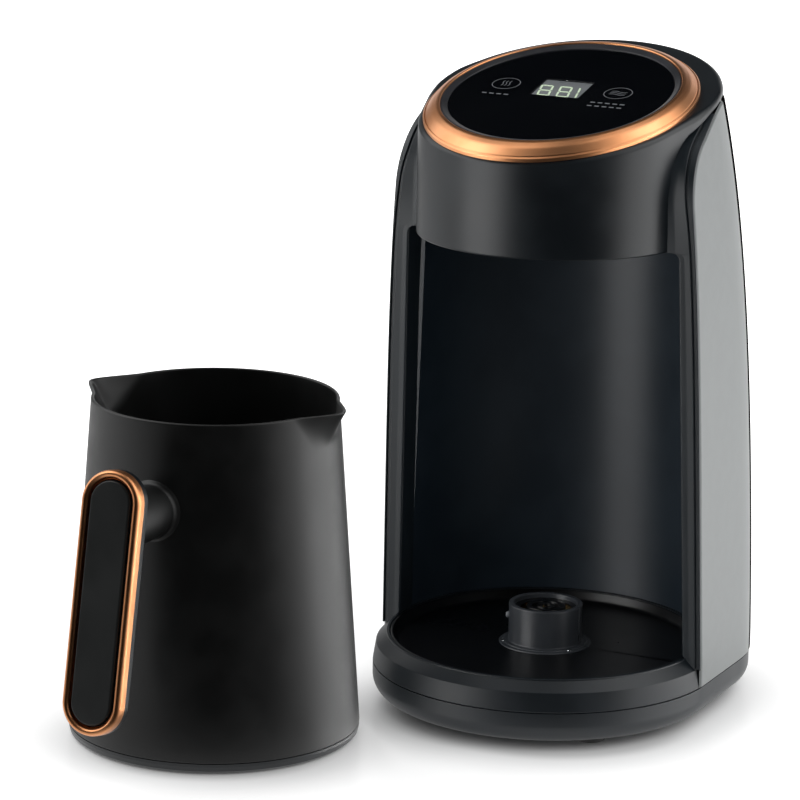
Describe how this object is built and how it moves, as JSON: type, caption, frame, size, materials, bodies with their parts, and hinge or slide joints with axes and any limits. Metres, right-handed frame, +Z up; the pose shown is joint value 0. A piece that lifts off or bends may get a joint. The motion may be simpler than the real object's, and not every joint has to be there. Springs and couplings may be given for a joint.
{
  "type": "electric turkish coffee maker",
  "caption": "Tower with a tilted round control head, a heated round base with a 360-degree connector, and a lift-off coffee pot with a flat upright handle standing beside it.",
  "frame": {"origin": "on the base connector's axis, at table level", "axes": "+Z up along the connector's axis, -Y the way the control face looks, +X to the right seen from the front"},
  "size_m": [0.2333, 0.3013, 0.2697],
  "materials": {
    "bezel_grey": "dark grey satin",
    "board_green": "green laminate",
    "brass": "plain brass",
    "copper": "polished copper-coloured plating",
    "gloss_black": "polished black",
    "heater_aluminium": "cast aluminium",
    "liner_black": "satin blue-black moulding",
    "lit": "lit segment diffusers",
    "panel_grey": "satin light grey sheet",
    "part_grey": "grey moulding",
    "pot_coating": "matt black coating on steel",
    "rubber": "matt black rubber",
    "satin_black": "fine satin black moulding",
    "silicone": "grey silicone",
    "smoked": "smoked display lens",
    "steel": "bright steel",
    "white_plastic": "off-white moulding"
  },
  "bodies": {
    "tower": {"rubber_feet": "rubber", "bottom_pan": "satin_black", "pan_screws": "steel", "base_cover": "satin_black", "tray_dish": "gloss_black", "cord_gland": "rubber", "connector_housing": "satin_black", "connector_outer_contact": "brass", "connector_inner_contact": "brass", "connector_centre_contact": "brass", "connector_clamp": "part_grey", "clamp_screws": "steel", "plunger_spring": "steel", "front_frame": "satin_black", "side_panel_left": "panel_grey", "side_panel_right": "panel_grey", "rear_cover": "satin_black", "rear_screws": "steel", "cavity_liner": "liner_black", "head_shell": "satin_black", "head_underside": "liner_black", "underside_screws": "steel", "sensor_window": "gloss_black", "overflow_sensor": "board_green", "trim_ring": "copper", "bezel_ring": "bezel_grey", "touch_glass": "gloss_black", "display_window": "smoked", "display_digits": "lit", "display_housing": "part_grey", "control_board": "board_green", "touch_springs": "steel", "buzzer": "satin_black", "board_screws": "steel", "power_board": "board_green", "relay": "white_plastic", "transformer": "part_grey", "capacitors": "gloss_black", "terminal_block": "white_plastic", "upper_loom": "rubber", "lower_loom": "rubber", "mains_leads": "rubber"},
    "pot": {"pot_body": "pot_coating", "handle_neck": "satin_black", "handle_grip": "satin_black", "handle_frame": "copper", "handle_insert": "gloss_black", "handle_screw": "steel", "heating_plate": "heater_aluminium", "heating_element": "part_grey", "temperature_probe": "steel", "thermal_fuse": "brass", "pot_socket": "satin_black", "pot_contacts": "brass", "pot_centre_pin": "steel", "base_cap": "satin_black", "base_seal": "silicone", "cap_screws": "steel"},
    "plunger": {"presence_plunger": "satin_black"}
  },
  "joints": [
    {"name": "pot_lift", "type": "slide", "parent": "tower", "child": "pot", "axis": [0, 0, 1], "range_m": [0, 0.15]},
    {"name": "plunger_press", "type": "slide", "parent": "tower", "child": "plunger", "axis": [0.9026, 0.4305, 0], "range_m": [0, 0.0008], "stiffness_N_per_m": 400, "springref_m": -0.002, "deforming": ["plunger_spring"]}
  ]
}
